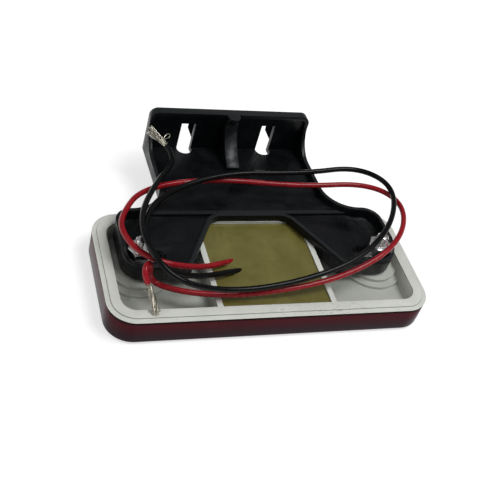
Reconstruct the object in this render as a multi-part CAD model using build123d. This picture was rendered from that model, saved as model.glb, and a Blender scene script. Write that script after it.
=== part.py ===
from build123d import *
from math import acos, cos, degrees, radians, sin, tan
import os

os.makedirs("parts", exist_ok=True)

# ---------------------------------------------------------------- driving sizes (mm)
# x runs along the lamp, y points back towards the bracket's upright, z is up.
# The lamp lies on its lens face at z = 0.
LAMP_Y = -20.7            # lamp centre, so that the lamp and bracket are centred on y = 0
LAMP_W = 110.0
LAMP_D = 47.0
LAMP_R = 9.0

LENS_TOP = 9.3
LENS_WALL = 2.0
LENS_FACE = 2.0
LENS_EDGE_R = 1.4
SEAM_T = 0.4
SEAM_IN = 0.45
SEAM_W = 1.2

FLANGE_Z = LENS_TOP + SEAM_T      # underside of the housing flange
LEDGE_Z = 10.15
RIM_Z = 10.5
LEDGE_W = 1.4
RIM_W = 4.5
TRAY_R = 5.0
TRAY_DRAFT = 1.1
TRAY_FLOOR = 4.8
FLOOR_T = 1.6
BODY_GAP = 0.35
RIB_X = 20.5
RIB_T = 1.9
WELL_Y = 18.4
WINDOW_X = 16.4
WINDOW_Y = 16.2

STUD_X = 42.3
STUD_Y = 1.8
BOSS_LOW_R = 11.2
BOSS_LOW_Z = 5.9
BOSS_MID_R = 8.8
BOSS_MID_Z = 7.1
BOSS_POST_R = 3.8
BOSS_TOP = 10.7

BOARD_T = 1.2
BOARD_X = 18.3
BOARD_Y = 18.1
RESIN_Z = 9.8

THREAD_R = 2.0
THREAD_PITCH = 0.7
HEAD_R = 3.4
HEAD_T = 1.7
STUD_TOP = 20.0

EAR_UNDER_Z = BOSS_TOP
EAR_FLOOR_Z = 12.2
EAR_X = 48.0
EAR_FRONT = -5.2
EAR_BACK = 20.4
EAR_SKIRT_Z = 8.4
BASE_X = 30.3
BASE_Z = 12.4
BASE_FLOOR_Z = 14.2
WALL_TOP = 16.6
WALL_T = 1.4
BASE_FALL = 2.57          # degrees that the base floor drops towards the upright
STEP_Y = 20.0
STEP_TOP = 13.0
PIN_MARK = 0.25
SKIRT_X = 21.3
SKIRT_Y = 17.5
ARCH_TOP = 14.2
ARCH_BACK = 19.0
ARCH_X_BACK = 13.6
ARCH_X_FRONT = 26.6
UPRIGHT_FRONT = 55.9
UPRIGHT_PANEL = 57.2
UPRIGHT_BACK = 59.0
UPRIGHT_LOW = 9.8
UPRIGHT_TOP = 28.1
UPRIGHT_X = 30.3
WEB_R = 9.5
SLOT_X = 15.4
SLOT_W = 5.3
SLOT_TOP = 22.6
COLLAR_TOP = 23.6
NOTCH_R = 2.75
BOSS_BACK = 64.9
COLLAR_T = 1.6
BOSS_LOW = 15.0
GUSSET_W = 4.7
GUSSET_FRONT = 43.9
PAD_Y = 55.2
PAD_H = 2.2

WASHER_T = 1.0
WASHER_R = 3.45
WASHER_BORE = 2.15
NUT_AF = 7.0
NUT_H = 3.2
NUT_BORE = 2.05

WIRE_D = 1.9


def lamp(shape):
    """Move a shape drawn about the lamp's centre into the part's frame."""
    return Pos(0, LAMP_Y, 0) * shape


def slab(width, depth, radius, z0, z1):
    """Rounded rectangle about the lamp centre, between two heights."""
    face = RectangleRounded(width, depth, radius)
    return extrude(Pos(0, 0, z0) * face, z1 - z0)


def block(x0, x1, y0, y1, z0, z1):
    return Pos((x0 + x1) / 2, (y0 + y1) / 2, (z0 + z1) / 2) * Box(x1 - x0, y1 - y0, z1 - z0)


def disc(x, y, radius, z0, z1):
    return Pos(x, y, (z0 + z1) / 2) * Cylinder(radius, z1 - z0)


def group(solids, name):
    out = Compound([s for s in solids])
    out.label = name
    return out


def save(shape, node):
    shape.label = node
    export_step(shape, f"parts/{node}.step")
    solids = shape.solids()
    volume = sum(s.volume for s in solids)
    print(f"{node:24s} solids {len(solids):2d}  volume {volume:9.1f}  valid {all(s.is_valid for s in solids)}")


# ---------------------------------------------------------------- lens
def make_lens():
    shell = slab(LAMP_W, LAMP_D, LAMP_R, 0, LENS_TOP)
    shell = fillet(shell.faces().sort_by(Axis.Z)[0].edges(), LENS_EDGE_R)
    shell -= slab(LAMP_W - 2 * LENS_WALL, LAMP_D - 2 * LENS_WALL, LAMP_R - LENS_WALL, LENS_FACE, LENS_TOP + 1)
    flute_count = 9
    for i in range(flute_count):
        x = -40.0 + 10.0 * i
        shell += block(x - 0.5, x + 0.5, -21.0, 21.0, LENS_FACE - 0.1, LENS_FACE + 0.7)
    return shell


# ---------------------------------------------------------------- adhesive seam between lens and housing
def make_seam():
    outer_w = LAMP_W - 2 * SEAM_IN
    outer_d = LAMP_D - 2 * SEAM_IN
    ring = slab(outer_w, outer_d, LAMP_R - SEAM_IN, LENS_TOP, FLANGE_Z)
    ring -= slab(outer_w - 2 * SEAM_W, outer_d - 2 * SEAM_W, LAMP_R - SEAM_IN - SEAM_W, LENS_TOP - 1, FLANGE_Z + 1)
    return ring


# ---------------------------------------------------------------- housing
def tray_pocket():
    top = Pos(0, 0, RIM_Z + 0.01) * RectangleRounded(LAMP_W - 2 * RIM_W, LAMP_D - 2 * RIM_W - 0.3, TRAY_R)
    low_w = LAMP_W - 2 * RIM_W - 2 * TRAY_DRAFT
    low_d = LAMP_D - 2 * RIM_W - 0.3 - 2 * TRAY_DRAFT
    low = Pos(0, 0, TRAY_FLOOR) * RectangleRounded(low_w, low_d, TRAY_R - 1.0)
    return loft([low, top])


def make_housing():
    body_w = LAMP_W - 2 * LENS_WALL - 2 * BODY_GAP
    body_d = LAMP_D - 2 * LENS_WALL - 2 * BODY_GAP
    body_r = LAMP_R - LENS_WALL - BODY_GAP
    pocket = tray_pocket()
    body = slab(body_w, body_d, body_r, TRAY_FLOOR - FLOOR_T, FLANGE_Z + 0.1)
    body += slab(LAMP_W, LAMP_D, LAMP_R, FLANGE_Z, LEDGE_Z)
    land = slab(LAMP_W - 2 * LEDGE_W, LAMP_D - 2 * LEDGE_W, LAMP_R - LEDGE_W, LEDGE_Z - 0.1, RIM_Z)
    land = chamfer(land.faces().sort_by(Axis.Z)[-1].edges(), 0.2)
    body += land
    shell = body - pocket
    # stepped bosses under the bracket's ears, trimmed to the tray
    for side in (-1, 1):
        x = side * STUD_X
        boss = disc(x, STUD_Y, BOSS_LOW_R, TRAY_FLOOR - 0.2, BOSS_LOW_Z)
        boss += disc(x, STUD_Y, BOSS_MID_R, TRAY_FLOOR - 0.2, BOSS_MID_Z)
        boss += disc(x, STUD_Y, BOSS_POST_R, TRAY_FLOOR - 0.2, BOSS_TOP)
        shell += boss & slab(body_w - 1, body_d - 1, body_r - 0.5, TRAY_FLOOR - 0.2, BOSS_TOP)
    # the two partition ribs
    for side in (-1, 1):
        x0 = min(side * RIB_X, side * (RIB_X - RIB_T))
        rib = block(x0, x0 + RIB_T, -LAMP_D / 2 + 3, LAMP_D / 2 - 3, TRAY_FLOOR - 0.2, RIM_Z)
        shell += rib
    # the well between the ribs, and its window onto the lens
    well_x = RIB_X - RIB_T
    shell -= block(-well_x, well_x, -WELL_Y, WELL_Y, TRAY_FLOOR, RIM_Z + 1)
    shell -= block(-WINDOW_X, WINDOW_X, -WINDOW_Y, WINDOW_Y, 0, TRAY_FLOOR + 1)
    # stud shanks and their heads, which sit in pockets open to the lens side
    for side in (-1, 1):
        x = side * STUD_X
        shell -= disc(x, STUD_Y, THREAD_R + 0.05, 0, BOSS_TOP + 1)
        shell -= disc(x, STUD_Y, HEAD_R + 0.3, 0, TRAY_FLOOR - FLOOR_T + HEAD_T)
    return shell


# ---------------------------------------------------------------- circuit board and what is soldered to it
BOARD_LOW = TRAY_FLOOR
BOARD_TOP = BOARD_LOW + BOARD_T
LED_XY = [(x, y) for x in (-10.5, 0.0, 10.5) for y in (-9.5, 0.0, 9.5)]
RED_PAD = (-6.4, 5.2)
BLACK_PAD = (-3.6, 0.4)
RESISTOR_XY = [(4.0, -9.0), (4.0, -4.0), (4.0, 1.0), (4.0, 6.0)]
DIODE_XY = [(-6.0, 9.5), (-6.0, -9.5)]


def make_board():
    board = block(-BOARD_X, BOARD_X, -BOARD_Y, BOARD_Y, BOARD_LOW, BOARD_TOP)
    board = fillet(board.edges().filter_by(Axis.Z), 1.0)
    for x, y in (RED_PAD, BLACK_PAD):
        board -= disc(x, y, 0.75, BOARD_LOW - 1, BOARD_TOP + 1)
    return board


def make_leds():
    out = []
    for x, y in LED_XY:
        case = block(x - 1.75, x + 1.75, y - 1.4, y + 1.4, BOARD_LOW - 1.1, BOARD_LOW)
        case = chamfer(case.edges().filter_by(Axis.Z)[0], 0.5)
        case -= Pos(x, y, BOARD_LOW - 1.1) * Cylinder(1.15, 1.2)
        out.append(case)
    return group(out, "leds")


def make_emitters():
    out = []
    for x, y in LED_XY:
        out.append(disc(x, y, 0.85, BOARD_LOW - 1.05, BOARD_LOW - 0.5))
    return group(out, "led_emitters")


def make_resistors():
    out = []
    for x, y in RESISTOR_XY:
        chip = block(x - 3.1, x + 3.1, y - 1.55, y + 1.55, BOARD_TOP, BOARD_TOP + 0.6)
        out.append(chip)
    return group(out, "resistors")


def make_diodes():
    out = []
    for x, y in DIODE_XY:
        case = block(x - 2.1, x + 2.1, y - 1.3, y + 1.3, BOARD_TOP, BOARD_TOP + 2.2)
        case = chamfer(case.faces().sort_by(Axis.Z)[-1].edges(), 0.35)
        out.append(case)
    return group(out, "diodes")


def make_joints():
    out = []
    for x, y in (RED_PAD, BLACK_PAD):
        cone = Pos(x, y, BOARD_TOP) * Cone(1.5, 0.7, 1.2, align=(Align.CENTER, Align.CENTER, Align.MIN))
        out.append(cone)
    return group(out, "solder_joints")


# ---------------------------------------------------------------- potting resin
def make_resin():
    well_x = RIB_X - RIB_T
    block_of_resin = block(-well_x, well_x, -WELL_Y, WELL_Y, BOARD_TOP, RESIN_Z)
    for x, y in RESISTOR_XY:
        block_of_resin -= block(x - 3.1, x + 3.1, y - 1.55, y + 1.55, BOARD_TOP, BOARD_TOP + 0.6)
    for x, y in DIODE_XY:
        block_of_resin -= block(x - 2.1, x + 2.1, y - 1.3, y + 1.3, BOARD_TOP, BOARD_TOP + 2.2)
    for x, y in (RED_PAD, BLACK_PAD):
        block_of_resin -= disc(x, y, 1.8, BOARD_TOP - 1, BOARD_TOP + 1.5)
    # clear channels for the two leads, which rise through the resin at a slant
    for route in (RED_ROUTE, BLACK_ROUTE):
        block_of_resin -= channel(route[0], route[1], WIRE_D / 2 + 0.3)
    for tail in (RED_TAIL, BLACK_TAIL):
        block_of_resin -= channel(tail[0], tail[1], TAIL_R + 0.3)
    return block_of_resin


def channel(start, end, radius):
    """Straight round channel from just before one route point to just past the next."""
    a = Vector(*start)
    b = Vector(*end)
    along = (b - a).normalized()
    return Plane(origin=a - along * 0.5, z_dir=along) * extrude(Circle(radius), (b - a).length + 1.0)


# ---------------------------------------------------------------- leads
# Route points are drawn about the lamp's centre.
RED_ROUTE = [
    (-8.4, 3.3, 7.6),
    (-13.6, -0.5, 11.0),
    (-22.7, -5.4, 14.0),
    (-35.8, -8.9, 19.5),
    (-44.0, -3.7, 19.5),
    (-48.5, 3.6, 20.9),
    (-47.3, 12.7, 19.9),
    (-37.3, 27.9, 18.1),
    (-11.2, 33.2, 17.8),
    (20.1, 28.9, 18.0),
    (47.1, 28.9, 19.9),
    (56.4, 15.4, 21.4),
    (45.1, -4.6, 21.4),
    (22.0, -13.4, 15.3),
    (-6.1, -15.8, 12.2),
    (-22.7, -14.9, 11.7),
    (-33.7, -12.4, 11.8),
    (-40.9, -8.5, 12.0),
    (-41.3, -7.2, 20.0),
    (-44.7, -11.9, 20.4),
    (-42.9, -13.6, 16.7),
]
BLACK_ROUTE = [
    (-6.2, -1.2, 7.6),
    (-11.8, -4.5, 11.0),
    (-20.0, -7.9, 13.0),
    (-29.8, -11.4, 16.7),
    (-38.1, -11.5, 20.7),
    (-41.9, -4.7, 22.4),
    (-40.8, 9.5, 20.6),
    (-31.8, 23.1, 19.8),
    (-7.7, 33.4, 20.4),
    (22.4, 33.4, 20.3),
    (44.4, 36.0, 21.6),
    (54.3, 23.6, 23.1),
    (45.0, 3.2, 23.6),
    (28.3, -9.8, 20.1),
    (5.7, -14.8, 15.8),
    (-17.5, -16.9, 14.9),
    (-36.3, -17.4, 21.4),
    (-43.3, -4.7, 24.9),
    (-41.7, 11.0, 22.5),
    (-33.1, 27.3, 20.9),
    (-26.3, 37.3, 18.7),
    (-23.5, 42.9, 19.0),
    (-25.5, 46.9, 20.5),
]
RED_STRAND_ROUTE = [(-42.58, -13.91, 16.04), (-42.18, -14.66, 14.50), (-41.56, -16.85, 13.00), (-40.74, -21.87, 11.40)]
BLACK_STRAND_ROUTE = [(-25.66, 47.24, 20.64), (-26.85, 48.45, 21.10), (-29.34, 49.63, 22.30), (-32.45, 51.10, 24.60)]
RED_STRAND_D = 1.5
BLACK_STRAND_D = 1.9
TAIL_R = 0.6
RED_TAIL = [(RED_PAD[0], RED_PAD[1], BOARD_TOP + 1.9), RED_ROUTE[0]]
BLACK_TAIL = [(BLACK_PAD[0], BLACK_PAD[1], BOARD_TOP + 1.9), BLACK_ROUTE[0]]
TAIL_GAP = 0.5


def corner_radii(points):
    radii = []
    for a, b, c in zip(points, points[1:], points[2:]):
        u = Vector(*b) - Vector(*a)
        v = Vector(*c) - Vector(*b)
        turn = acos(max(-1.0, min(1.0, u.normalized().dot(v.normalized()))))
        radii.append(0.45 * min(u.length, v.length) / tan(turn / 2))
    return radii


def lead(points, diameter, name):
    radii = corner_radii(points)
    path = FilletPolyline(*points, radius=radii)
    first = (Vector(*points[1]) - Vector(*points[0])).normalized()
    tube = sweep(Plane(origin=points[0], z_dir=first) * Circle(diameter / 2), path=path)
    area = 3.14159265 * diameter ** 2 / 4
    print(f"{name}: length {path.length:.1f} mm, volume / (section x length) = {tube.volume / (area * path.length):.4f}")
    print("   bend radii (mm): " + " ".join(f"{r:.1f}" for r in radii))
    print("   runs (mm): " + " ".join(f"{(Vector(*b) - Vector(*a)).length:.1f}" for a, b in zip(points, points[1:])))
    return tube


def make_tails():
    out = []
    for a, b in (RED_TAIL, BLACK_TAIL):
        along = (Vector(*b) - Vector(*a)).normalized()
        span = (Vector(*b) - Vector(*a)).length - 2 * TAIL_GAP
        out.append(Plane(origin=Vector(*a) + along * TAIL_GAP, z_dir=along) * extrude(Circle(TAIL_R), span))
    return group(out, "lead_tails")


# ---------------------------------------------------------------- studs, lock washers, nuts
def make_stud(side):
    x = side * STUD_X
    head_top = TRAY_FLOOR - FLOOR_T + HEAD_T
    shank = disc(x, STUD_Y, THREAD_R, head_top - 0.2, STUD_TOP)
    shank = chamfer(shank.edges().sort_by(Axis.Z)[-1], 0.4)
    return shank + disc(x, STUD_Y, HEAD_R, head_top - HEAD_T + 0.05, head_top)


def make_washer(side):
    x = side * STUD_X
    ring = disc(x, STUD_Y, WASHER_R, EAR_FLOOR_Z, EAR_FLOOR_Z + WASHER_T)
    ring -= disc(x, STUD_Y, WASHER_BORE, EAR_FLOOR_Z - 1, EAR_FLOOR_Z + WASHER_T + 1)
    return ring - block(x + 1, x + 5, STUD_Y - 0.3, STUD_Y + 0.3, EAR_FLOOR_Z - 1, EAR_FLOOR_Z + WASHER_T + 1)


def make_nut(side):
    x = side * STUD_X
    z0 = EAR_FLOOR_Z + WASHER_T
    hexagon = Pos(x, STUD_Y, z0) * extrude(RegularPolygon(NUT_AF / 2, 6, major_radius=False), NUT_H)
    hexagon &= Pos(x, STUD_Y, z0) * hex_envelope()
    return hexagon - disc(x, STUD_Y, NUT_BORE, z0 - 1, z0 + NUT_H + 1)


def hex_envelope():
    """Barrel that turns the corners off a hex nut, top and bottom."""
    outside = NUT_AF / 2 * 1.1547 + 0.3
    face_r = NUT_AF / 2 * 0.96
    rise = (outside - face_r) * 0.577
    right = [(face_r, 0), (outside, rise), (outside, NUT_H - rise), (face_r, NUT_H)]
    profile = Polyline((0, 0), *right, (0, NUT_H), close=True)
    return revolve(Plane.XZ * make_face(profile), Axis.Z)


# ---------------------------------------------------------------- bracket
def bracket_outline():
    half = [
        (BASE_X, UPRIGHT_BACK + 0.3, 1.5),
        (BASE_X, EAR_BACK, 11.5),
        (EAR_X, EAR_BACK, 6.0),
        (EAR_X, EAR_FRONT, 7.2),
        (ARCH_X_FRONT, EAR_FRONT, 2.0),
        (ARCH_X_BACK, ARCH_BACK, 5.0),
    ]
    corners = half + [(-x, y, r) for x, y, r in reversed(half)]
    face = make_face(Polyline(*[(x, y) for x, y, r in corners], close=True))
    for x, y, r in corners:
        vertex = face.vertices().sort_by_distance((x, y, 0))[0]
        face = fillet(vertex, r)
        face = face.face() if hasattr(face, "face") else face
    return face


def prism(face, z0, z1):
    return extrude(Pos(0, 0, z0) * face, z1 - z0)


def sloping_base(outline, ring):
    """Floor and walls of the base, which fall away towards the upright."""
    far = 80.0
    base = prism(outline, BASE_Z, BASE_FLOOR_Z) & block(-far, far, STEP_Y, far, 0, 40)
    base += prism(ring, BASE_Z, ARCH_TOP)
    # high wall round the outside, falling away at the front of each ear
    high = prism(ring, ARCH_TOP - 0.1, WALL_TOP)
    inside = BASE_X - WALL_T
    high &= block(-far, -inside, -far, far, 0, 40) + block(inside, far, -far, far, 0, 40)
    falling = Polyline((4.0, WALL_TOP), (4.0, 30.0), (-20.0, 30.0), (-20.0, ARCH_TOP), (-1.5, ARCH_TOP), close=True)
    high -= extrude(Plane.YZ * make_face(falling), far, both=True)
    base += high
    # ejector-pin mark near the fold
    base -= disc(24.0, 54.6, 2.3, BASE_FLOOR_Z - PIN_MARK, BASE_FLOOR_Z + 1)
    base = Pos(0, 0, BASE_FLOOR_Z) * (Rot(-BASE_FALL, 0, 0) * (Pos(0, 0, -BASE_FLOOR_Z) * base))
    return base & block(-far, far, -far, UPRIGHT_BACK, 0, 40)


def fall(y):
    """How far the base has dropped at a distance back from the lamp's centre line."""
    return y * tan(radians(BASE_FALL))


def make_bracket():
    outline = bracket_outline()
    inner = offset(outline, -WALL_T)
    ring = outline - inner
    far = 80.0
    body = sloping_base(outline, ring)
    # level ear floors, and the step between them and the base
    front = block(-far, far, -far, STEP_Y + WALL_T, 0, 40)
    body += prism(outline, EAR_UNDER_Z, EAR_FLOOR_Z) & front
    body += prism(outline, EAR_UNDER_Z, STEP_TOP) & block(-far, far, STEP_Y, STEP_Y + WALL_T, 0, 40)
    body += prism(ring, EAR_UNDER_Z, STEP_TOP) & front
    # ejector-pin mark on the right ear
    body -= disc(37.9, 15.4, 2.3, EAR_FLOOR_Z - PIN_MARK, EAR_FLOOR_Z + 1)
    # skirts inside the tray, clear of the partition ribs and the rear rim
    skirt = prism(ring, EAR_SKIRT_Z, EAR_UNDER_Z + 0.1) & block(-far, far, -far, SKIRT_Y, 0, 40)
    skirt &= block(-far, -SKIRT_X, -far, far, 0, 40) + block(SKIRT_X, far, -far, far, 0, 40)
    body += skirt
    # upright: panel with a shallow wall round its sides and top
    corners = [(-UPRIGHT_X, UPRIGHT_LOW), (UPRIGHT_X, UPRIGHT_LOW), (UPRIGHT_X, UPRIGHT_TOP), (-UPRIGHT_X, UPRIGHT_TOP)]
    sheet = make_face(Polyline(*corners, close=True))
    sheet = fillet(sheet.vertices().group_by(Axis.Y)[-1], 3.0)
    hollow = offset(sheet, -WALL_T)
    rim = sheet - hollow
    # Plane.XZ looks along -y, so a positive extrusion there runs forwards
    panel = Pos(0, UPRIGHT_BACK, 0) * (Plane.XZ * extrude(sheet, UPRIGHT_BACK - UPRIGHT_PANEL))
    frame = Pos(0, UPRIGHT_BACK, 0) * (Plane.XZ * extrude(rim, UPRIGHT_BACK - UPRIGHT_FRONT))
    frame &= block(-far, far, 0, far, UPRIGHT_LOW + 1.5, 40)
    body += panel + frame
    # the side walls sweep up from the base into the upright
    slope = radians(BASE_FALL)
    centre_y = UPRIGHT_FRONT - WEB_R
    centre_z = WALL_TOP - fall(centre_y) + WEB_R
    low_end = (centre_y - WEB_R * sin(slope), centre_z - WEB_R * cos(slope))
    high_end = (UPRIGHT_FRONT, centre_z)
    middle = (centre_y + 0.707 * WEB_R, centre_z - 0.707 * WEB_R)
    back_y = UPRIGHT_PANEL + 0.5
    low_z = UPRIGHT_LOW + 1.5
    web_line = Polyline(high_end, (back_y, high_end[1]), (back_y, low_z), (low_end[0], low_z), low_end)
    web = make_face(web_line + ThreePointArc(low_end, middle, high_end))
    for side in (-1, 1):
        x0 = min(side * UPRIGHT_X, side * (UPRIGHT_X - WALL_T))
        body += Pos(x0, 0, 0) * extrude(Plane.YZ * web, WALL_T)
    # gusset across the fold
    foot = BASE_FLOOR_Z - fall(GUSSET_FRONT)
    lower = [
        (55.7, UPRIGHT_TOP - 0.5),
        (UPRIGHT_PANEL + 0.5, UPRIGHT_TOP - 0.5),
        (UPRIGHT_PANEL + 0.5, foot - 0.9),
        (GUSSET_FRONT, foot - 0.9),
        (GUSSET_FRONT, foot + 1.2),
        (GUSSET_FRONT + 1.2, foot + 2.2),
    ]
    sweep_up = ThreePointArc(lower[-1], (51.0, foot + 5.6), (55.6, foot + 11.8))
    side_view = Polyline(*lower) + sweep_up + Line((55.6, foot + 11.8), lower[0])
    body += extrude(Plane.YZ * make_face(side_view), GUSSET_W / 2, both=True)
    pad = disc(0, PAD_Y, GUSSET_W / 2, UPRIGHT_TOP - PAD_H, UPRIGHT_TOP)
    pad += block(-GUSSET_W / 2, GUSSET_W / 2, PAD_Y, 56.0, UPRIGHT_TOP - PAD_H, UPRIGHT_TOP)
    body += pad
    # bosses behind the tops of the two mounting slots, then the slots through everything
    for side in (-1, 1):
        x = side * SLOT_X
        half = SLOT_W / 2 + COLLAR_T
        body += block(x - half, x + half, UPRIGHT_BACK - 0.5, BOSS_BACK, BOSS_LOW, COLLAR_TOP)
        body -= block(x - SLOT_W / 2, x + SLOT_W / 2, UPRIGHT_PANEL - 1.0, BOSS_BACK + 1, 0, SLOT_TOP)
        body -= disc(x, UPRIGHT_PANEL - 0.8, NOTCH_R, 0, BASE_FLOOR_Z + 1)
    # slots in the ears for the lamp's studs, elongated inwards
    for side in (-1, 1):
        x_in = side * (STUD_X - 6.5)
        x_out = side * STUD_X
        slot = block(min(x_in, x_out), max(x_in, x_out), STUD_Y - 2.5, STUD_Y + 2.5, 0, EAR_FLOOR_Z + 1)
        slot += disc(x_in, STUD_Y, 2.5, 0, EAR_FLOOR_Z + 1) + disc(x_out, STUD_Y, 2.5, 0, EAR_FLOOR_Z + 1)
        body -= slot
    return body


# ---------------------------------------------------------------- write every piece
save(lamp(make_lens()), "lens")
save(lamp(make_seam()), "seam_adhesive")
save(lamp(make_housing()), "housing")
save(lamp(make_board()), "circuit_board")
save(lamp(make_leds()), "leds")
save(lamp(make_emitters()), "led_emitters")
save(lamp(make_resistors()), "resistors")
save(lamp(make_diodes()), "diodes")
save(lamp(make_joints()), "solder_joints")
save(lamp(make_tails()), "lead_tails")
save(lamp(make_resin()), "potting_resin")
for side, word in ((-1, "left"), (1, "right")):
    save(lamp(make_stud(side)), f"stud_{word}")
    save(lamp(make_washer(side)), f"lock_washer_{word}")
    save(lamp(make_nut(side)), f"nut_{word}")
save(lamp(make_bracket()), "bracket")
save(lamp(lead(RED_ROUTE, WIRE_D, "red lead")), "red_lead")
save(lamp(lead(BLACK_ROUTE, WIRE_D, "black lead")), "black_lead")
save(lamp(lead(RED_STRAND_ROUTE, RED_STRAND_D, "red lead strands")), "red_lead_strands")
save(lamp(lead(BLACK_STRAND_ROUTE, BLACK_STRAND_D, "black lead strands")), "black_lead_strands")
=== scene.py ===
import math
import random

import bmesh
import bpy
from mathutils import Matrix, Vector
from mathutils import noise as field


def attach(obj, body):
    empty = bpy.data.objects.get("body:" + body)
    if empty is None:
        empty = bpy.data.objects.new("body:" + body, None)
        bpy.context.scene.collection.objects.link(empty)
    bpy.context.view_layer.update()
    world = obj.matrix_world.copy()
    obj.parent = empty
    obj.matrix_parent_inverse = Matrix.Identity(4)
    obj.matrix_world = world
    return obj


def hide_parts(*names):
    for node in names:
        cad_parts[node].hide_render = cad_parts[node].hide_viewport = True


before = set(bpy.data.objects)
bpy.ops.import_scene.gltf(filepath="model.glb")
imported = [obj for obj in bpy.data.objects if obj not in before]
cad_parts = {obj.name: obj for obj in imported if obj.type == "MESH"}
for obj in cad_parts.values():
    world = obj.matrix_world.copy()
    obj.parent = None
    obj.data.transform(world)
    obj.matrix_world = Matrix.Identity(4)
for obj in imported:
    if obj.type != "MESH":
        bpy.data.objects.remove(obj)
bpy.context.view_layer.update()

scene = bpy.context.scene
MM = 0.001
LAMP_Y = -20.7            # the lamp's centre in the part's frame, as in the CAD
PANEL_BACK = 59.05        # the back of the bracket's upright, from the lamp's centre
SLOT_X = 15.4             # its slots' centres, from the middle
SLOT_REACH = 2.72         # half a slot's width, and a little more


def at(x, y, z):
    """A point about the lamp's centre, in mm, as a place in the part's frame, in metres."""
    return Vector((x * MM, (y + LAMP_Y) * MM, z * MM))


# ---------------------------------------------------------------- camera
AZIMUTH = math.radians(-27.1779)
ELEVATION = math.radians(42.0162)
ROLL = math.radians(18.0813)
CAMERA_AT = at(-108.756, -189.998, 213.633)
FOCAL_MM = 67.66


def make_camera():
    """Looks down along AZIMUTH and ELEVATION, turned about its own axis by ROLL."""
    back = Vector((math.sin(AZIMUTH) * math.cos(ELEVATION),
                   -math.cos(AZIMUTH) * math.cos(ELEVATION),
                   math.sin(ELEVATION)))
    right = (-back).cross(Vector((0, 0, 1))).normalized()
    up = right.cross(-back)
    cam_x = math.cos(ROLL) * right + math.sin(ROLL) * up
    cam_y = -math.sin(ROLL) * right + math.cos(ROLL) * up
    data = bpy.data.cameras.new("camera")
    data.sensor_width = 36.0
    data.lens = FOCAL_MM
    data.clip_start = 0.01
    camera = bpy.data.objects.new("camera", data)
    turn = Matrix((cam_x, cam_y, back)).transposed().to_4x4()
    camera.matrix_world = Matrix.Translation(CAMERA_AT) @ turn
    scene.collection.objects.link(camera)
    scene.camera = camera


make_camera()


# ---------------------------------------------------------------- material tools
def material(name, color, roughness=0.4, metallic=0.0, **more):
    """A Principled material; more holds values for its other sockets, by name with _ for spaces."""
    m = bpy.data.materials.new(name)
    m.use_nodes = True
    shader = m.node_tree.nodes["Principled BSDF"]
    shader.inputs["Base Color"].default_value = (*color, 1)
    shader.inputs["Roughness"].default_value = roughness
    shader.inputs["Metallic"].default_value = metallic
    for key, value in more.items():
        shader.inputs[key.replace("_", " ")].default_value = value
    return m


def add(m, kind, **values):
    """A new node; values set its sockets, or its own properties, by name."""
    node = m.node_tree.nodes.new(kind)
    for key, value in values.items():
        name = key.replace("_", " ")
        if name in node.inputs:
            node.inputs[name].default_value = value
        else:
            setattr(node, key, value)
    return node


def link(m, out, into):
    """Joins one node's output to another's input."""
    m.node_tree.links.new(out, into)


def math_node(m, how, a, b=0.0):
    """A sum, product or comparison of two values, each a number or a socket."""
    node = add(m, "ShaderNodeMath", operation=how)
    for source, into in ((a, node.inputs[0]), (b, node.inputs[1])):
        if isinstance(source, bpy.types.NodeSocket):
            link(m, source, into)
        else:
            into.default_value = source
    return node.outputs["Value"]


def xyz_of(m, what="Object"):
    """The X, Y and Z of each point in the part's frame, or of its normal with what="Normal"."""
    coords = add(m, "ShaderNodeTexCoord")
    split = add(m, "ShaderNodeSeparateXYZ")
    link(m, coords.outputs[what], split.inputs["Vector"])
    return split.outputs["X"], split.outputs["Y"], split.outputs["Z"]


def place(m, stretch=(1, 1, 1)):
    """Object coordinates, which are metres in the part's frame."""
    coords = add(m, "ShaderNodeTexCoord")
    mapping = add(m, "ShaderNodeMapping")
    mapping.inputs["Scale"].default_value = stretch
    link(m, coords.outputs["Object"], mapping.inputs["Vector"])
    return mapping.outputs["Vector"]


def speckle(m, size_mm, detail=4.0, stretch=(1, 1, 1), roughness=0.55, distortion=0.0):
    """Noise whose blotches are about size_mm across, 0 to 1."""
    tex = add(m, "ShaderNodeTexNoise", Scale=1000.0 / size_mm, Detail=detail,
              Roughness=roughness, Distortion=distortion)
    link(m, place(m, stretch), tex.inputs["Vector"])
    return tex.outputs["Fac"]


def ramp(m, fac, low, high, a=0.35, b=0.65):
    """Maps fac from a..b onto low..high: numbers or colours."""
    node = add(m, "ShaderNodeValToRGB")
    link(m, fac, node.inputs["Fac"])
    ends = node.color_ramp.elements
    ends[0].position, ends[1].position = a, b
    as_color = lambda v: (*v, 1) if hasattr(v, "__len__") else (v, v, v, 1)
    ends[0].color, ends[1].color = as_color(low), as_color(high)
    return node.outputs["Color"]


def mix(m, fac, a, b, how="MIX"):
    """Blends a with b by fac: each of them a socket, a colour or a number."""
    node = add(m, "ShaderNodeMixRGB", blend_type=how)
    for source, name in ((fac, "Fac"), (a, "Color1"), (b, "Color2")):
        if isinstance(source, bpy.types.NodeSocket):
            link(m, source, node.inputs[name])
        elif hasattr(source, "__len__"):
            node.inputs[name].default_value = (*source, 1)
        else:
            node.inputs[name].default_value = source
    return node.outputs["Color"]


def bump(m, heights, depth_mm):
    """Chains bump nodes from (relief, share) pairs onto the shader."""
    shader = m.node_tree.nodes["Principled BSDF"]
    last = None
    for relief, share in heights:
        node = add(m, "ShaderNodeBump", Strength=share, Distance=depth_mm * MM)
        link(m, relief, node.inputs["Height"])
        if last:
            link(m, last, node.inputs["Normal"])
        last = node.outputs["Normal"]
    link(m, last, shader.inputs["Normal"])


def socket(m, name):
    """One of the shader's own inputs."""
    return m.node_tree.nodes["Principled BSDF"].inputs[name]


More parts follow.
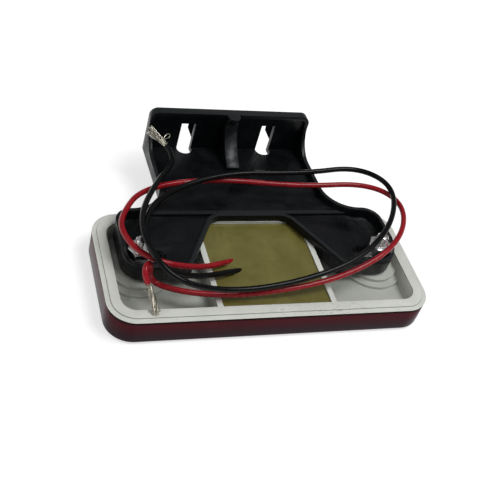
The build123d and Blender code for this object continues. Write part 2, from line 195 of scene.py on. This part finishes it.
# ---------------------------------------------------------------- materials
def height(m, low_mm, high_mm, below, above):
    """Runs from one value or colour to another between two heights above the lens face."""
    z = xyz_of(m)[2]
    span = add(m, "ShaderNodeMapRange", From_Min=low_mm * MM, From_Max=high_mm * MM, To_Min=0.0, To_Max=1.0)
    link(m, z, span.inputs["Value"])
    return ramp(m, span.outputs["Result"], below, above, 0.0, 1.0)


# The bracket's walls, whose tops get a painted highlight. Its floor falls towards the upright, so heights
# are measured along the fall.
FLOOR_FALL = 0.0449       # mm of fall for each mm back
BEHIND_STEP_Y = 21.7      # just behind the step between the ears and the floor
WALL_LEAST = 13.9         # on the ears, a face above this is the top of a wall
WALL_RISE = 1.4           # added to that behind the step
LEVEL_FACE = 0.6          # the Z of a normal that still counts as facing up

# The scuffed stretch of the housing's front rim, from the lamp's centre
SCUFF_Y = -18.7
SCUFF_FROM_X = -4
SCUFF_TO_X = 30


def wall_top_highlight_mask(m):
    """Mask for the painted highlight: 1 on the tops of the bracket's walls and along its step, 0 elsewhere.
    """
    y, z = xyz_of(m)[1:]
    facing_z = xyz_of(m, "Normal")[2]
    back = math_node(m, "SUBTRACT", y, LAMP_Y * MM)
    level = math_node(m, "ADD", z, math_node(m, "MULTIPLY", back, FLOOR_FALL))
    beyond_step = math_node(m, "GREATER_THAN", back, BEHIND_STEP_Y * MM)
    least = math_node(m, "ADD", WALL_LEAST * MM, math_node(m, "MULTIPLY", beyond_step, WALL_RISE * MM))
    high = math_node(m, "GREATER_THAN", level, least)
    return math_node(m, "MULTIPLY", high, math_node(m, "GREATER_THAN", facing_z, LEVEL_FACE))


def in_slots(m, outside, inside):
    """One value on the walls of the upright's slots behind its panel, another elsewhere."""
    x, y = xyz_of(m)[:2]
    behind = math_node(m, "GREATER_THAN", y, (LAMP_Y + PANEL_BACK) * MM)
    from_slot = math_node(m, "SUBTRACT", math_node(m, "ABSOLUTE", x), SLOT_X * MM)
    near = math_node(m, "LESS_THAN", math_node(m, "ABSOLUTE", from_slot), SLOT_REACH * MM)
    return ramp(m, math_node(m, "MULTIPLY", behind, near), outside, inside, 0.0, 1.0)


def front_rim(m):
    """1 along the front of the housing's rim, right of the middle, where it is scuffed."""
    x, y = xyz_of(m)[:2]
    front = math_node(m, "LESS_THAN", y, (LAMP_Y + SCUFF_Y) * MM)
    after = math_node(m, "GREATER_THAN", x, SCUFF_FROM_X * MM)
    before = math_node(m, "LESS_THAN", x, SCUFF_TO_X * MM)
    return math_node(m, "MULTIPLY", front, math_node(m, "MULTIPLY", after, before))


NO_COLOUR, FULL_COLOUR = (0, 0, 0), (1, 1, 1)

# Heights above the lens face between which a colour changes
TRAY_SHADE_HEIGHTS = (6.5, 10.2)                # painted shade: the trays, sunk below the rim, are darker
RIM_STEP_SHADE = (10.16, 10.18, 10.40, 10.42)    # painted shade: the dark line on the small face of the step round the rim
LENS_PAINTED_LIGHT = (3.0, 7.4)                     # painted light: the red on the lens's side comes up, brighter towards the top
LENS_TOP_SHADE = (8.6, 8.9)                # painted shade: it goes dark under the housing's flange


def white_plastic():
    """The housing: pale, with painted shade in its trays and on the step round its rim, scuffed along the
    front of its rim.
    """
    m = material("housing_white_plastic", (0.78, 0.80, 0.74), 0.35, Coat_Weight=0.08, Coat_Roughness=0.2)
    tint = ramp(m, speckle(m, 9, 5), (0.74, 0.765, 0.70), (0.84, 0.86, 0.80), 0.3, 0.7)
    # painted shade: darker lower down, in the trays
    painted_tray_shade = height(m, *TRAY_SHADE_HEIGHTS, (0.66, 0.67, 0.66), FULL_COLOUR)
    grime = ramp(m, speckle(m, 1.6, 6, distortion=0.8), 0.0, 0.5, 0.60, 0.78)
    scuff = ramp(m, speckle(m, 0.5, 5, (0.25, 2.2, 1), distortion=1.5), 0.0, 0.55, 0.66, 0.74)
    color = mix(m, grime, mix(m, 1.0, tint, painted_tray_shade, "MULTIPLY"), (0.50, 0.50, 0.44))
    smear = ramp(m, speckle(m, 1.1, 8, (0.3, 1.7, 1), 0.7, 2.2), 0.0, 0.75, 0.54, 0.68)
    marks = math_node(m, "MULTIPLY", front_rim(m), smear)
    color = mix(m, marks, color, (0.17, 0.17, 0.15))
    # painted shade: a dark line on the face of the step round the rim
    above = height(m, *RIM_STEP_SHADE[:2], NO_COLOUR, FULL_COLOUR)
    below = height(m, *RIM_STEP_SHADE[2:], FULL_COLOUR, NO_COLOUR)
    step = mix(m, 1.0, above, below, "MULTIPLY")
    color = mix(m, step, color, (0.30, 0.31, 0.27))
    link(m, mix(m, scuff, color, (0.34, 0.34, 0.31)), socket(m, "Base Color"))
    link(m, ramp(m, speckle(m, 2.5, 4), 0.28, 0.48), socket(m, "Roughness"))
    bump(m, [(speckle(m, 3.0, 2), 0.35), (speckle(m, 0.25, 3), 0.12)], 0.06)
    return m


def black_plastic():
    """The bracket: near black, with flow marks, dust, a painted highlight on the tops of its walls and
    painted shade in its slots.
    """
    m = material("bracket_black_plastic", (0.005, 0.006, 0.007), 0.3, Specular_IOR_Level=0.22)
    tint = ramp(m, speckle(m, 6, 5), (0.0025, 0.0035, 0.0045), (0.006, 0.0075, 0.009))
    # painted highlight: the wall tops paler, as if lit from above
    tint = mix(m, wall_top_highlight_mask(m), tint, (0.016, 0.019, 0.021))
    dust = ramp(m, speckle(m, 0.45, 2), 0.0, 0.25, 0.72, 0.82)
    link(m, mix(m, dust, tint, (0.09, 0.095, 0.10)), socket(m, "Base Color"))
    flow = speckle(m, 7, 6, (1, 2.6, 1), distortion=1.2)
    link(m, ramp(m, flow, 0.20, 0.44, 0.3, 0.72), socket(m, "Roughness"))
    # painted shade: the slot walls behind the panel get no reflection, so they stay dark
    link(m, in_slots(m, 0.22, 0.0), socket(m, "Specular IOR Level"))
    bump(m, [(speckle(m, 5, 3, distortion=0.6), 0.2), (speckle(m, 0.5, 4), 0.2)], 0.06)
    return m


def red_lens():
    """The lens: dark red, with painted light brightening it up its side and painted shade under the
    housing's flange.
    """
    m = material("lens_red_acrylic", (0.12, 0.008, 0.016), 0.2,
                 Coat_Weight=0.03, Coat_Roughness=0.08, Specular_IOR_Level=0.08)
    # painted light and shade: the lens's side brighter towards the top, darker under the housing's flange
    painted_light_and_shade = height(m, *LENS_PAINTED_LIGHT, (0.020, 0.004, 0.009), (0.070, 0.0035, 0.009))
    painted_light_and_shade = mix(m, 1.0, painted_light_and_shade, height(m, *LENS_TOP_SHADE, FULL_COLOUR, (0.3, 0.3, 0.3)), "MULTIPLY")
    cloud = ramp(m, speckle(m, 12, 3), (0.88, 0.88, 0.88), (1.0, 1.0, 1.0))
    link(m, mix(m, 1.0, painted_light_and_shade, cloud, "MULTIPLY"), socket(m, "Base Color"))
    link(m, ramp(m, speckle(m, 1.2, 6, (1, 1, 4)), 0.14, 0.34, 0.4, 0.75), socket(m, "Roughness"))
    bump(m, [(speckle(m, 2.2, 3, (1, 1, 3)), 0.3)], 0.04)
    return m


def olive_resin():
    """The poured resin: cloudy, glossy, with small flecks."""
    m = material("potting_resin_olive", (0.16, 0.145, 0.05), 0.14,
                 Coat_Weight=0.15, Coat_Roughness=0.08, Specular_IOR_Level=0.35)
    cloud = ramp(m, speckle(m, 8, 5, distortion=0.6), (0.145, 0.128, 0.030), (0.205, 0.185, 0.052), 0.3, 0.7)
    fleck = ramp(m, speckle(m, 0.35, 2), 0.0, 0.35, 0.66, 0.78)
    link(m, mix(m, fleck, cloud, (0.28, 0.26, 0.11)), socket(m, "Base Color"))
    link(m, ramp(m, speckle(m, 5, 3), 0.10, 0.24), socket(m, "Roughness"))
    bump(m, [(speckle(m, 6, 2), 0.4), (speckle(m, 0.6, 3), 0.08)], 0.15)
    return m


def cable_sleeve(name, dark, light, coat, specular):
    """The PVC of a lead."""
    m = material(name, dark, 0.3, Coat_Weight=coat, Coat_Roughness=0.15, Specular_IOR_Level=specular)
    link(m, ramp(m, speckle(m, 5, 4), dark, light, 0.35, 0.7), socket(m, "Base Color"))
    link(m, ramp(m, speckle(m, 1.5, 5), 0.18, 0.32), socket(m, "Roughness"))
    bump(m, [(speckle(m, 1.4, 3), 0.5), (speckle(m, 0.2, 2), 0.15)], 0.03)
    return m


def plated_metal(name, dark, light, rough, grain_mm=0.5):
    """Bare or plated metal with a fine grain; rough is its mean roughness."""
    m = material(name, dark, rough, 1.0)
    link(m, ramp(m, speckle(m, 2.2, 5), dark, light, 0.3, 0.7), socket(m, "Base Color"))
    link(m, ramp(m, speckle(m, 0.8, 4), rough * 0.85, rough * 1.2, 0.3, 0.7), socket(m, "Roughness"))
    bump(m, [(speckle(m, grain_mm, 3), 0.3)], 0.01)
    return m


def plain_part(name, dark, light, rough, **more):
    """A part with only a slight mottle; more holds values for the shader's other sockets."""
    size_mm = 1.5
    m = material(name, dark, rough, **more)
    link(m, ramp(m, speckle(m, size_mm, 4), dark, light, 0.3, 0.7), socket(m, "Base Color"))
    link(m, ramp(m, speckle(m, size_mm / 2, 4), rough * 0.7, rough * 1.3), socket(m, "Roughness"))
    bump(m, [(speckle(m, size_mm / 3, 3), 0.3)], 0.03)
    return m


def board_green():
    """The circuit board's mask, with its tracks showing through."""
    m = material("board_green_mask", (0.02, 0.11, 0.04), 0.25, Coat_Weight=0.5)
    traces = add(m, "ShaderNodeTexVoronoi", Scale=260.0, feature="F1", distance="MANHATTAN")
    link(m, place(m), traces.inputs["Vector"])
    lines = ramp(m, traces.outputs["Distance"], 0.0, 1.0, 0.44, 0.50)
    link(m, mix(m, lines, (0.02, 0.11, 0.04), (0.04, 0.19, 0.08)), socket(m, "Base Color"))
    bump(m, [(lines, 0.5)], 0.05)
    return m


WHITE = white_plastic()
BLACK = black_plastic()
LENS = red_lens()
RESIN = olive_resin()
RED_PVC = cable_sleeve("lead_red_pvc", (0.28, 0.004, 0.010), (0.38, 0.008, 0.016), 0.15, 0.25)
BLACK_PVC = cable_sleeve("lead_black_pvc", (0.0012, 0.0015, 0.002), (0.003, 0.0035, 0.004), 0.08, 0.14)
ZINC = plated_metal("zinc_plated_steel", (0.82, 0.83, 0.84), (0.92, 0.92, 0.91), 0.20)
TINNED = plated_metal("tinned_copper", (0.42, 0.39, 0.31), (0.74, 0.71, 0.62), 0.32, 0.3)
SOLDER = plated_metal("solder", (0.62, 0.63, 0.64), (0.80, 0.81, 0.82), 0.2)
GLUE = plain_part("seam_glue", (0.020, 0.010, 0.010), (0.05, 0.02, 0.02), 0.5)
LED_CASE = plain_part("led_white_case", (0.78, 0.78, 0.76), (0.88, 0.88, 0.86), 0.35)
LED_GEL = plain_part("led_yellow_gel", (0.72, 0.55, 0.10), (0.85, 0.68, 0.18), 0.2, Coat_Weight=0.6)
CHIP = plain_part("resistor_body", (0.015, 0.015, 0.016), (0.04, 0.04, 0.042), 0.45)
EPOXY = plain_part("diode_epoxy", (0.012, 0.012, 0.013), (0.03, 0.03, 0.03), 0.55)
BOARD = board_green()


# ---------------------------------------------------------------- leads
# The same route points as the CAD's tubes, about the lamp's centre, in mm.
RED_ROUTE = [
    (-8.4, 3.3, 7.6),
    (-13.6, -0.5, 11.0),
    (-22.7, -5.4, 14.0),
    (-35.8, -8.9, 19.5),
    (-44.0, -3.7, 19.5),
    (-48.5, 3.6, 20.9),
    (-47.3, 12.7, 19.9),
    (-37.3, 27.9, 18.1),
    (-11.2, 33.2, 17.8),
    (20.1, 28.9, 18.0),
    (47.1, 28.9, 19.9),
    (56.4, 15.4, 21.4),
    (45.1, -4.6, 21.4),
    (22.0, -13.4, 15.3),
    (-6.1, -15.8, 12.2),
    (-22.7, -14.9, 11.7),
    (-33.7, -12.4, 11.8),
    (-40.9, -8.5, 12.0),
    (-41.3, -7.2, 20.0),
    (-44.7, -11.9, 20.4),
    (-42.9, -13.6, 16.7),
]
BLACK_ROUTE = [
    (-6.2, -1.2, 7.6),
    (-11.8, -4.5, 11.0),
    (-20.0, -7.9, 13.0),
    (-29.8, -11.4, 16.7),
    (-38.1, -11.5, 20.7),
    (-41.9, -4.7, 22.4),
    (-40.8, 9.5, 20.6),
    (-31.8, 23.1, 19.8),
    (-7.7, 33.4, 20.4),
    (22.4, 33.4, 20.3),
    (44.4, 36.0, 21.6),
    (54.3, 23.6, 23.1),
    (45.0, 3.2, 23.6),
    (28.3, -9.8, 20.1),
    (5.7, -14.8, 15.8),
    (-17.5, -16.9, 14.9),
    (-36.3, -17.4, 21.4),
    (-43.3, -4.7, 24.9),
    (-41.7, 11.0, 22.5),
    (-33.1, 27.3, 20.9),
    (-26.3, 37.3, 18.7),
    (-23.5, 42.9, 19.0),
    (-25.5, 46.9, 20.5),
]
RED_STRAND_ROUTE = [
    (-42.58, -13.91, 16.04), (-42.18, -14.66, 14.50), (-41.56, -16.85, 13.00), (-40.74, -21.87, 11.40),
]
BLACK_STRAND_ROUTE = [
    (-25.66, 47.24, 20.64), (-26.85, 48.45, 21.10), (-29.34, 49.63, 22.30), (-32.45, 51.10, 24.60),
]
# one black strand that springs out in a loop
BLACK_STRAY = [
    (-26.6, 48.1, 21.3), (-26.4, 49.6, 22.0), (-24.9, 51.0, 22.8), (-23.9, 50.2, 23.2), (-24.6, 48.6, 22.6),
    (-26.3, 48.9, 22.0),
]
WIRE_D = 1.9


def spline_curve(name, points, radius_mm=0.0):
    """A smooth curve drawn towards the points, in mm about the lamp's centre."""
    data = bpy.data.curves.new(name, "CURVE")
    data.dimensions = "3D"
    data.resolution_u = 16
    data.bevel_depth = radius_mm * MM
    data.bevel_resolution = 6
    data.use_fill_caps = True
    spline = data.splines.new("NURBS")
    spline.points.add(len(points) - 1)
    for point, xyz in zip(spline.points, points):
        point.co = (*at(*xyz), 1)
    spline.order_u = 3
    spline.use_endpoint_u = True
    obj = bpy.data.objects.new(name, data)
    scene.collection.objects.link(obj)
    return obj


def line_of(points):
    """The smooth line that a route's spline follows, as points in metres."""
    guide = spline_curve("guide", points)
    bpy.context.view_layer.update()
    mesh = bpy.data.meshes.new_from_object(guide)
    line = [v.co.copy() for v in mesh.vertices]
    bpy.data.meshes.remove(mesh)
    bpy.data.objects.remove(guide)
    return line


def length_of(line):
    """Metres along a line of points."""
    return sum((b - a).length for a, b in zip(line, line[1:]))


STRAND_SIDES = 6
STRAND_TAPER = 0.95


def strand_tube(bm, line, radius):
    """A capped tube along line, a little thinner at its far end."""
    rings = []
    side = Vector((0.3, 0.5, 0.8))
    for i, p in enumerate(line):
        along = (line[min(i + 1, len(line) - 1)] - line[max(i - 1, 0)]).normalized()
        side = (side - along * side.dot(along)).normalized()
        other = along.cross(side)
        r = radius * (1 + (STRAND_TAPER - 1) * i / (len(line) - 1))
        turn = [2 * math.pi * k / STRAND_SIDES for k in range(STRAND_SIDES)]
        rings.append([bm.verts.new(p + r * (math.cos(t) * side + math.sin(t) * other)) for t in turn])
    for low, high in zip(rings, rings[1:]):
        for k in range(STRAND_SIDES):
            n = (k + 1) % STRAND_SIDES
            bm.faces.new((low[k], low[n], high[n], high[k]))
    bm.faces.new(list(reversed(rings[0])))
    bm.faces.new(rings[-1])


def strand_bundle(name, route, count, pack, turns, fan, seed, stray):
    """Tinned strands twisted round the route, fanning out sideways towards the cut end."""
    rng = random.Random(seed)
    line = line_of(route)
    steps = len(line) - 1
    bm = bmesh.new()
    for k in range(count):
        angle0 = rng.uniform(0, 2 * math.pi)
        hub = pack * math.sqrt((k + 0.5) / count)
        sway = fan * (2 * k / (count - 1) - 1)
        drift = Vector((rng.uniform(-1, 1), rng.uniform(-1, 1), rng.uniform(-0.5, 0.8))) * 0.35
        last = int(steps * rng.uniform(0.86, 1.0))
        side = Vector((0.2, 0.9, 0.3))
        path = []
        for i in range(last + 1):
            t = i / steps
            along = (line[min(i + 1, steps)] - line[max(i - 1, 0)]).normalized()
            side = (side - along * side.dot(along)).normalized()
            angle = angle0 + turns * 2 * math.pi * t + 0.25 * math.sin(9 * t + k)
            offset = hub * (math.cos(angle) * side + math.sin(angle) * along.cross(side))
            path.append(line[i] + (offset + sway * t ** 1.3 + drift * t ** 2) * MM)
        strand_tube(bm, path, rng.uniform(0.16, 0.20) * MM)
    if stray:
        strand_tube(bm, line_of(stray), 0.16 * MM)
    mesh = bpy.data.meshes.new(name)
    bm.to_mesh(mesh)
    bm.free()
    mesh.polygons.foreach_set("use_smooth", [True] * len(mesh.polygons))
    obj = bpy.data.objects.new(name, mesh)
    scene.collection.objects.link(obj)
    return obj


LEADS = (
    ("red", RED_ROUTE, RED_PVC, "pvc_red", RED_STRAND_ROUTE,
     dict(count=34, pack=0.85, turns=1.2, fan=Vector((0.25, 0.0, 0.05)), seed=11, stray=None)),
    ("black", BLACK_ROUTE, BLACK_PVC, "pvc_black", BLACK_STRAND_ROUTE,
     dict(count=26, pack=0.95, turns=0.4, fan=Vector((0.8, 1.3, 0.1)), seed=12, stray=BLACK_STRAY)),
)


def make_leads():
    """Each lead is a sleeve along its route, with a bundle of bare strands at its end."""
    for colour, route, sleeve, slot, strand_route, spread in LEADS:
        lead = spline_curve(f"{colour}_lead_sleeve", route, WIRE_D / 2)
        lead.data.materials.append(sleeve)
        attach(lead, "lamp")
        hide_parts(f"{colour}_lead")
        strands = strand_bundle(f"{colour}_lead_strand_bundle", strand_route, **spread)
        strands.data.materials.append(TINNED)
        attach(strands, "lamp")
        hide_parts(f"{colour}_lead_strands")
        length_of(line_of(route))


make_leads()


# ---------------------------------------------------------------- CAD pieces with broken edges
SAME_POINT = 2e-6         # metres
FLAT_ANGLE = math.radians(0.8)
SHARP_ANGLE = math.radians(40)


def finished(node, body, mat, width_mm):
    """Stands for a CAD node: the same shape, with its sharp edges rounded as moulded or machined."""
    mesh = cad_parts[node].data.copy()
    mesh.materials.clear()
    mesh.materials.append(mat)
    obj = bpy.data.objects.new(f"{node}_piece", mesh)
    scene.collection.objects.link(obj)
    bm = bmesh.new()
    bm.from_mesh(mesh)
    bmesh.ops.remove_doubles(bm, verts=bm.verts, dist=SAME_POINT)
    bmesh.ops.dissolve_limit(bm, angle_limit=FLAT_ANGLE, verts=bm.verts, edges=bm.edges)
    for face in bm.faces:
        face.smooth = True
        face.material_index = 0
    bm.to_mesh(mesh)
    bm.free()
    bevel = obj.modifiers.new("edge", "BEVEL")
    bevel.width = width_mm * MM
    bevel.segments = 2
    bevel.limit_method = "ANGLE"
    bevel.angle_limit = SHARP_ANGLE
    bevel.harden_normals = True
    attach(obj, body)
    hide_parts(node)


finished("housing", "lamp", WHITE, 0.18)
finished("bracket", "lamp", BLACK, 0.28)
finished("lens", "lamp", LENS, 0.15)
for word in ("left", "right"):
    finished(f"nut_{word}", f"{word}_nut", ZINC, 0.12)
    finished(f"lock_washer_{word}", "lamp", ZINC, 0.1)


# ---------------------------------------------------------------- potting resin with its poured surface
WELL_X = 18.6             # half the well's size
WELL_Y = 18.4
WELL_FIT = 0.9999         # keeps the pour just off the well's walls
RESIN_LOW = 6.0
RESIN_Z = 9.75
RESIN_GRID = 120          # cells each way
NEAR_END = 40             # the points of a lead's line in which it leaves the resin


def surface_crossing(route):
    """Where a lead's line comes up through the resin."""
    return min(line_of(route)[:NEAR_END], key=lambda p: abs(p.z - RESIN_Z * MM))


def resin_height(x, y, entries):
    """Height of the poured surface, in mm."""
    z = RESIN_Z + 0.10 * field.noise(Vector((x / 9, y / 7, 1.3)))
    z += 0.05 * field.noise(Vector((x / 2.6, y / 2.6, 5.1)))
    # it creeps up the walls
    edge = min(WELL_X - abs(x), WELL_Y - abs(y))
    z += 0.28 * math.exp(-edge / 0.45)
    # the pour pulled up and tore at the front right corner
    corner = math.hypot(x - WELL_X, y + WELL_Y)
    z += 0.22 * math.exp(-corner / 2.2) * field.noise(Vector((x * 1.7, y * 1.7, 8.0)))
    # and up each lead, with a shallow ring round that
    for e in entries:
        away = math.hypot(x - e.x / MM, y - (e.y / MM - LAMP_Y))
        z += 0.24 * math.exp(-max(away - 0.9, 0) / 0.6) - 0.10 * math.exp(-((away - 2.6) / 0.8) ** 2)
    return z


def make_resin():
    """Stands for the CAD's flat block: a grid for the poured top, walls and a flat underside."""
    entries = [surface_crossing(RED_ROUTE), surface_crossing(BLACK_ROUTE)]
    count = RESIN_GRID
    bm = bmesh.new()
    top = []
    for i in range(count + 1):
        x = WELL_X * (2 * i / count - 1) * WELL_FIT
        row = []
        for k in range(count + 1):
            y = WELL_Y * (2 * k / count - 1) * WELL_FIT
            row.append(bm.verts.new(at(x, y, resin_height(x, y, entries))))
        top.append(row)
    for i in range(count):
        for k in range(count):
            bm.faces.new((top[i][k], top[i + 1][k], top[i + 1][k + 1], top[i][k + 1])).smooth = True
    rim = [top[i][0] for i in range(count + 1)] + [top[count][k] for k in range(1, count + 1)]
    rim += [top[i][count] for i in range(count - 1, -1, -1)] + [top[0][k] for k in range(count - 1, 0, -1)]
    low = [bm.verts.new((v.co.x, v.co.y, RESIN_LOW * MM)) for v in rim]
    for i in range(len(rim)):
        n = (i + 1) % len(rim)
        bm.faces.new((rim[n], rim[i], low[i], low[n]))
    bm.faces.new(list(reversed(low)))
    mesh = bpy.data.meshes.new("resin_pour")
    bm.normal_update()
    bm.to_mesh(mesh)
    bm.free()
    mesh.materials.append(RESIN)
    obj = bpy.data.objects.new("resin_pour", mesh)
    scene.collection.objects.link(obj)
    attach(obj, "lamp")
    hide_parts("potting_resin")


make_resin()


# ---------------------------------------------------------------- studs with real threads
STUD_X = 42.3
STUD_Y = 1.8
STUD_LOW = 3.25
HEAD_R = 3.4
HEAD_TOP = 4.9
STUD_TOP = 20.0
THREAD_R = 2.0            # M4, coarse pitch
PITCH = 0.7
THREAD_DEPTH = 0.34
THREAD_STEP = PITCH / 8   # height of a ring of faces
THREAD_START = 0.6        # the thread reaches its full depth this far above the head
STUD_SIDES = 36


def make_stud(side, word):
    """Stands for a CAD stud: its head and shank, with a real thread."""
    around = STUD_SIDES
    ring_count = int((STUD_TOP - HEAD_TOP) / THREAD_STEP)
    heights = [HEAD_TOP + THREAD_STEP * i for i in range(ring_count)] + [STUD_TOP]
    bm = bmesh.new()

    def ring(z, radius_at):
        turns = [2 * math.pi * k / around for k in range(around)]
        return [bm.verts.new(at(side * STUD_X + radius_at(t, z) * math.cos(t),
                                STUD_Y + radius_at(t, z) * math.sin(t), z)) for t in turns]

    def thread(t, z):
        phase = (z / PITCH - t / (2 * math.pi)) % 1.0
        tooth = abs(2 * phase - 1)
        grown = min(1.0, max(0.0, (z - HEAD_TOP) / THREAD_START))
        radius = THREAD_R - THREAD_DEPTH * grown * min(1.0, max(0.0, 1.25 * tooth - 0.12))
        return min(radius, THREAD_R - 0.45 + (STUD_TOP - z))

    flat = lambda radius: (lambda t, z: radius)
    head = (
        (STUD_LOW, HEAD_R - 0.15), (STUD_LOW + 0.15, HEAD_R),
        (HEAD_TOP - 0.1, HEAD_R), (HEAD_TOP, HEAD_R - 0.1),
    )
    rings = [ring(z, flat(radius)) for z, radius in head]
    rings += [ring(z, thread) for z in heights]
    for low, high in zip(rings, rings[1:]):
        for k in range(around):
            n = (k + 1) % around
            bm.faces.new((low[k], low[n], high[n], high[k]))
    bm.faces.new(list(reversed(rings[0])))
    bm.faces.new(rings[-1])
    mesh = bpy.data.meshes.new(f"stud_{word}_threaded")
    bm.to_mesh(mesh)
    bm.free()
    mesh.polygons.foreach_set("use_smooth", [True] * len(mesh.polygons))
    mesh.set_sharp_from_angle(angle=math.radians(50))
    mesh.materials.append(ZINC)
    obj = bpy.data.objects.new(f"stud_{word}_threaded", mesh)
    scene.collection.objects.link(obj)
    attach(obj, "lamp")
    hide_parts(f"stud_{word}")


make_stud(-1, "left")
make_stud(1, "right")


# ---------------------------------------------------------------- CAD pieces that keep their own mesh
PAINT = {
    "seam_adhesive": GLUE,
    "circuit_board": BOARD,
    "leds": LED_CASE,
    "led_emitters": LED_GEL,
    "resistors": CHIP,
    "diodes": EPOXY,
    "solder_joints": SOLDER,
    "lead_tails": TINNED,
}
for node, mat in PAINT.items():
    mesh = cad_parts[node].data
    mesh.materials.clear()
    mesh.materials.append(mat)


# ---------------------------------------------------------------- floor and light
FLOOR_SIZE = 60
FLOOR_Z = -0.0002
FLOOR_GLOW = 0.66         # brings the floor up to white
WORLD_STRENGTH = 0.22
LIGHT_AIM = Vector((0, 0, 0.01))
LIGHTS = (                # name, place, size in metres, watts
    ("key", (0.30, -0.16, 0.85), 0.42, 4.3),
    ("left", (-0.65, 0.10, 0.55), 0.4, 0.6),
)


def make_stage():
    """A pale glowing floor, a dim world and two area lights."""
    scene.view_settings.view_transform = "Standard"
    bpy.ops.mesh.primitive_plane_add(size=FLOOR_SIZE, location=(0, 0, FLOOR_Z))
    floor = bpy.context.object
    floor.name = "floor"
    m = material("floor_pale", (0.6, 0.6, 0.6), 0.8,
                 Emission_Color=(1, 1, 1, 1), Emission_Strength=FLOOR_GLOW)
    link(m, ramp(m, speckle(m, 60, 3), (0.58, 0.58, 0.58), (0.62, 0.62, 0.62)), socket(m, "Base Color"))
    floor.data.materials.append(m)
    world = bpy.data.worlds.new("studio")
    world.use_nodes = True
    background = world.node_tree.nodes["Background"]
    background.inputs["Color"].default_value = (1, 1, 1, 1)
    background.inputs["Strength"].default_value = WORLD_STRENGTH
    scene.world = world
    for name, where, size, watts in LIGHTS:
        data = bpy.data.lights.new(name, "AREA")
        data.size = size
        data.energy = watts
        lamp = bpy.data.objects.new(name, data)
        lamp.location = where
        lamp.rotation_euler = (LIGHT_AIM - Vector(where)).to_track_quat("-Z", "Y").to_euler()
        scene.collection.objects.link(lamp)


make_stage()
